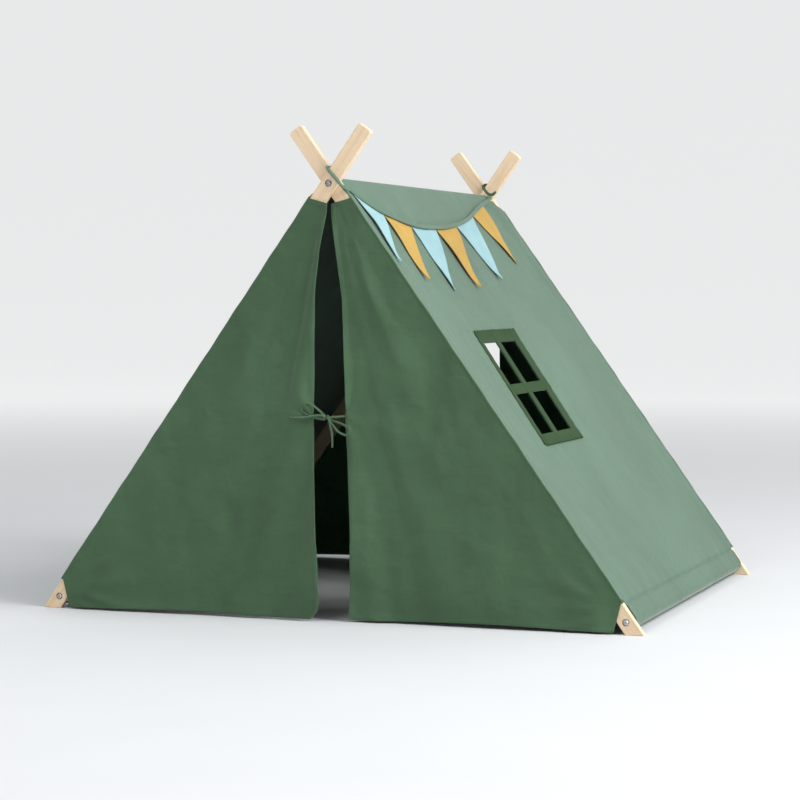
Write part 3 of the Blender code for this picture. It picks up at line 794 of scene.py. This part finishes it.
TIE_D = 0.0045
TIE_T = 0.0026
LEFT_TIE = (
    (-0.0330, 0.0045, 0.0030), (-0.0160, 0.0052, 0.0010), (-0.0040, 0.0060, 0.0000),
    (-0.0120, 0.0090, 0.0100), (-0.0360, 0.0110, 0.0280), (-0.0520, 0.0110, 0.0260),
    (-0.0540, 0.0110, 0.0120), (-0.0330, 0.0110, 0.0010), (-0.0050, 0.0120, -0.0030),
    (-0.0050, 0.0170, 0.0040), (-0.0180, 0.0170, 0.0050), (-0.0500, 0.0160, 0.0000),
    (-0.0820, 0.0120, -0.0010),
)
RIGHT_TIE = (
    (0.0330, -0.0110, 0.0030), (0.0170, 0.0000, 0.0015), (0.0040, 0.0060, 0.0000),
    (0.0120, 0.0090, -0.0060), (0.0330, 0.0110, -0.0120), (0.0480, 0.0110, -0.0220),
    (0.0430, 0.0110, -0.0340), (0.0240, 0.0110, -0.0270), (0.0050, 0.0120, -0.0040),
    (0.0050, 0.0170, 0.0040), (0.0090, 0.0170, -0.0140), (0.0130, 0.0150, -0.0350),
    (0.0120, 0.0120, -0.0600),
)


def tie(end, twin, route):
    """One half of a bow: from the flap's slit edge into the knot, round its loop and out as a tail."""
    turn = -end
    side = (-1 if twin == "left" else 1) * turn
    end_name, side_name = names(end, side)
    points = [(x * turn, (-HALF_D - out) * turn, TIE_Z + up) for x, out, up in route]
    path = smooth_path(points, 0.0018)
    piece = ribbon(f"bow_{end_name}_{side_name}", path, TIE_D, TIE_T, LOOKS["door"], (0, end, 0.25), 0.9)
    hang(piece, end, side)
    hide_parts(f"tie_{end_name}_{side_name}")


TAPE_ROUTE = (
    (-0.498, 0.024), (-0.471, 0.038), (-0.428, 0.062), (-0.368, 0.085), (-0.240, 0.110),
    (-0.120, 0.113), (0.006, 0.107), (0.164, 0.085), (0.264, 0.061), (0.368, 0.035), (0.470, 0.013),
)
PENNANT_ENDS = (-0.479, -0.375, -0.246, -0.090, 0.074, 0.257, 0.400)
PENNANT_TIPS = (
    (-0.491, 0.211), (-0.386, 0.254), (-0.234, 0.277), (-0.063, 0.271), (0.140, 0.248), (0.351, 0.202),
)
TAPE_N = 0.0036                                # middle of the tape above the cover


def tape_s(y):
    """How far down the slope the tape lies at a depth y."""
    places = smooth_path([(a, b, 0.0) for a, b in TAPE_ROUTE], 0.01)
    return np.interp(y, places[:, 0], places[:, 1])


def bunting_tape():
    """Folded tape: looped over the front crossing, across the slope and knotted at the back crossing."""
    notch = RIDGE_Z + 0.016 / SIN + 0.003
    front = [(-0.006, -0.497, notch + 0.004), (-0.004, -0.515, notch + 0.001), (-0.001, -0.5345, notch),
             (0.006, -0.5370, notch - 0.009), (0.018, -0.5368, 0.9010), (0.031, -0.5345, 0.8850),
             (0.0375, -0.5200, 0.8795)]
    middle = [tuple(slope_point(1, s, y, SKIN + TAPE_N - ridge_drop(s, y))) for y, s in TAPE_ROUTE]
    back = [(0.016, 0.5050, 0.9050), (0.009, 0.5150, 0.9140), (0.001, 0.5175, notch),
            (-0.006, 0.5080, notch + 0.003)]
    path = smooth_path(front + middle + back, 0.0035)
    piece = ribbon("bunting_tape_cotton", path, 0.0095, 0.0026, LOOKS["slope_right"],
                   np.array([0.80, -0.35, 0.55]))
    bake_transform(piece)
    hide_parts("bunting_tape")
    knot_at(np.array([0.0005, 0.5185, notch + 0.001]))


def knot_at(place):
    """The back knot: two and a half turns of tape in the notch, and a short tail."""
    turns = []
    radius, steps = 0.0065, 48
    for k in range(steps + 1):
        turn = math.tau * 2.6 * k / steps
        x = radius * math.cos(turn) + 0.001 * k / steps
        turns.append(place + np.array([x, -0.004 + 0.009 * k / steps, radius * math.sin(turn)]))
    coil = ribbon("bunting_knot", turns, 0.0070, 0.0022, LOOKS["slope_right"], (0, 1, 0.3))
    tail = smooth_path([place + np.array(p) for p in
                        ((0.004, -0.030, -0.004), (0.016, -0.038, -0.016), (0.028, -0.040, -0.019),
                         (0.038, -0.041, -0.012))], 0.003)
    end = ribbon("bunting_tail", tail, 0.0070, 0.0020, LOOKS["slope_right"], (0, -1, 0.4), 0.6, 0.3)
    for piece in (coil, end):
        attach(piece, "ridge")


def pennant(number):
    """A long cotton triangle that hangs from the tape, its edges lifting a little off the cover."""
    y0, y1 = PENNANT_ENDS[number] + 0.001, PENNANT_ENDS[number + 1] - 0.001
    tip_y, tip_s = PENNANT_TIPS[number]
    rows, cols = 34, 17
    down, across = np.meshgrid(np.linspace(0, 1, rows), np.linspace(-1, 1, cols), indexing="ij")
    mid_y, half = (y0 + y1) / 2, (y1 - y0) / 2
    narrow = 1 - down * 0.985
    y = mid_y + across * narrow * half + down * (tip_y - mid_y)
    top_s = tape_s(mid_y + across * half)
    mid_s = float(tape_s(mid_y))
    s = mid_s + (top_s - mid_s) * narrow + down * (tip_s - mid_s)
    seed = number * 2.3
    wave = 0.0030 * np.sin(5.5 * down + 1.6 * across + seed) * down ** 0.7
    wave += 0.0016 * np.sin(13 * down - 2.2 * across + 2 * seed) * down * (1 - down)
    curl = 0.0042 * (across ** 2) * narrow * np.sin(math.pi * np.clip(down * 1.1, 0, 1))
    curl *= 0.5 + 0.5 * math.sin(seed + 1)
    tip = 0.0040 * down ** 4 * (1 + math.sin(seed))
    cover = SKIN + slope_offset(1, s, y) - ridge_drop(s, y)
    n = cover + 0.0014 + np.maximum(0, wave + 0.001) + curl + tip
    thick = np.full(y.shape, 0.0007)
    rim = (1 - np.abs(across)) * narrow * half
    thick += np.interp(rim, (0.0, 0.004, 0.006), (0.0006, 0.0006, 0.0))
    color = "aqua" if number % 2 == 0 else "mustard"
    piece = grid_mesh(f"pennant_cloth_{number + 1}", slope_point(1, s, y, n), thick, LOOKS[color])
    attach(piece, "right_half")
    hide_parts(f"pennant_{number + 1}")


def window_trim():
    """The appliqued window border: gathered top and bottom bands, narrow sides and glazing bars."""
    y_low, y_high = WINDOW_LOW.y, WINDOW_HIGH.y
    s_low = (RIDGE_Z + SKIN * SIN - WINDOW_HIGH.z) / COS + 0.001
    s_high = (RIDGE_Z + SKIN * SIN - WINDOW_LOW.z) / COS - 0.001
    s_lines = set(np.linspace(s_low, s_high, 60).tolist())
    y_lines = set(np.linspace(y_low, y_high, 120).tolist())
    for pair in PANE_S:
        s_lines |= {edge + step for edge in pair for step in (-0.003, -0.0015, 0.0, 0.0015)}
    for pair in PANE_Y:
        y_lines |= {edge + step for edge in pair for step in (-0.003, -0.0015, 0.0, 0.0015)}
    s, y = np.meshgrid(np.array(sorted(s_lines)), np.array(sorted(y_lines)), indexing="ij")
    top = np.exp(-((s - s_low) / 0.020) ** 2)
    bottom = np.exp(-((s - s_high) / 0.020) ** 2)
    pleat = np.sin(2 * math.pi * y / 0.011 + 1.3 * np.sin(40 * y)) + 0.4 * np.sin(2 * math.pi * y / 0.0047)
    bars = (s > PANE_S[0][1]) & (s < PANE_S[1][0])
    relief = 0.0011 * pleat * (top + bottom) + np.where(bars, 0.0007 * np.sin(2 * math.pi * y / 0.009), 0)
    ragged_s = 0.0020 * np.sin(2 * math.pi * y / 0.017) * (top - bottom)
    from_middle = np.abs(y - (y_low + y_high) / 2) / (y_high - y_low)
    ragged_y = 0.0014 * np.sin(2 * math.pi * s / 0.023) * from_middle ** 4 * 16
    n = SKIN + 0.0008 + slope_offset(1, s, y) + np.maximum(relief, 0.0) + 0.0006 * (top + bottom)
    centre_bar = (y > PANE_Y[0][1]) & (y < PANE_Y[1][0])
    n = n + np.where(centre_bar, 0.0008, 0.0)
    keep = ~in_panes(cell_middles(s), cell_middles(y))
    surface = slope_point(1, s + ragged_s, y + ragged_y + window_shift(s), n)
    piece = grid_mesh("window_trim_cotton", surface, np.full(s.shape, 0.0012), LOOKS["trim"], keep)
    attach(piece, "right_half")
    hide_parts("window_trim")


def corner_seam(end, side):
    """The piped seam where a slope meets a door, along the leg's outer corner."""
    end_name, side_name = names(end, side)
    places = []
    for s in np.linspace(TOP_CUT_S - 0.002, SIDE_CUT_S + 0.012, 150):
        sway = 0.0004 * math.sin(41 * s) + 0.0003 * math.sin(97 * s + 1)
        places.append(slope_point(side, s, door_face(end, side) + end * 0.0006, COVER_N + sway))
    piece = ribbon(f"corner_seam_{end_name}_{side_name}", places, 0.0034, 0.0030, LOOKS["door"],
                   (side * COS, end * 0.9, SIN))
    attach(piece, f"{side_name}_half")


# Stage

def look_from(az, el, roll):
    """Camera turn for an azimuth, elevation and roll in degrees. Azimuth 0 looks along +Y."""
    az, el, roll = (math.radians(v) for v in (az, el, roll))
    back = Vector((math.sin(az) * math.cos(el), -math.cos(az) * math.cos(el), math.sin(el)))
    right = (-back).cross(Vector((0, 0, 1))).normalized()
    up = right.cross(-back)
    matrix = Matrix((right, up, back)).transposed()
    return matrix @ Matrix.Rotation(roll, 3, "Z")


def camera():
    """The photo's viewpoint, as fitted to the frame's lines."""
    data = bpy.data.cameras.new("camera")
    data.lens = 105.75
    data.sensor_width = 36.0
    eye = bpy.data.objects.new("camera", data)
    bpy.context.scene.collection.objects.link(eye)
    eye.location = (1.746, -4.973, 0.685)
    eye.rotation_euler = look_from(19.73, 2.79, -0.04).to_euler()
    bpy.context.scene.camera = eye


def area_light(name, place, aim, size, power, color):
    """A soft box at a place, turned to its aim."""
    data = bpy.data.lights.new(name, "AREA")
    data.shape = "RECTANGLE"
    data.size, data.size_y = size
    data.energy = power
    data.color = color
    lamp = bpy.data.objects.new(name, data)
    bpy.context.scene.collection.objects.link(lamp)
    lamp.location = place
    lamp.rotation_euler = (Vector(aim) - Vector(place)).to_track_quat("-Z", "Y").to_euler()


def stage():
    """Pale floor that curves up into a backdrop and glows far off, soft sky and two soft boxes."""
    bm = bmesh.new()
    profile = [(-30.0, 0.0), (9.0, 0.0)]
    radius = 5.0
    for k in range(1, 17):
        turn = math.radians(90) * k / 16
        profile.append((9.0 + radius * math.sin(turn), radius * (1 - math.cos(turn))))
    profile.append((14.0, 30.0))
    rows = [[bm.verts.new((x, y, z)) for y, z in profile] for x in (-40.0, 40.0)]
    for k in range(len(profile) - 1):
        bm.faces.new((rows[0][k], rows[1][k], rows[1][k + 1], rows[0][k + 1]))
    mesh = bpy.data.meshes.new("studio_floor")
    bm.to_mesh(mesh)
    bm.free()
    shader = Shader("studio_paper")
    place = shader.place()
    grain = shader.noise(place, 4.0, 2.0)
    tone = shader.ramp(grain, (0.3, (0.655, 0.66, 0.665)), (0.7, (0.665, 0.67, 0.675)))
    reach = shader.node("ShaderNodeVectorMath", {"operation": "LENGTH"})
    shader.tree.links.new(place, reach.inputs[0])
    far = shader.node("ShaderNodeMapRange", Value=reach.outputs["Value"], From_Min=2.2, From_Max=9.0)
    far = shader.math("SMOOTH_MIN", far.outputs[0], 1.0)
    tone = shader.mix(far, tone, (0.02, 0.02, 0.02))
    glow = shader.math("MULTIPLY", far, 0.83)
    mesh.materials.append(shader.finish(Base_Color=tone, Roughness=0.9, Emission_Strength=glow,
                                        Emission_Color=(0.99, 0.995, 1.0, 1.0)))
    mesh.shade_smooth()
    floor = bpy.data.objects.new("studio_floor", mesh)
    bpy.context.scene.collection.objects.link(floor)
    world = bpy.data.worlds.new("studio")
    world.use_nodes = True
    world.node_tree.nodes["Background"].inputs["Color"].default_value = (0.93, 0.965, 1.0, 1.0)
    world.node_tree.nodes["Background"].inputs["Strength"].default_value = 0.43
    bpy.context.scene.world = world
    bpy.context.scene.view_settings.view_transform = "Standard"
    area_light("key_right", (5.2, -1.1, 3.9), (0.2, 0.0, 0.35), (3.4, 3.4), 490, (0.98, 0.99, 1.0))
    area_light("fill_front", (-1.2, -3.0, 3.6), (0.0, -0.5, 0.6), (2.6, 2.0), 52, (0.97, 0.985, 1.0))


camera()
for way in (-1, 1):
    tie(way, "left", LEFT_TIE)
    tie(way, "right", RIGHT_TIE)
dress_frame()
for half in (-1, 1):
    settle_slope(half)
    slope(half)
for way in (-1, 1):
    for half in (-1, 1):
        door(way, half)
        corner_seam(way, half)
window_trim()
bunting_tape()
for index in range(len(PENNANT_ENDS) - 1):
    pennant(index)
stage()
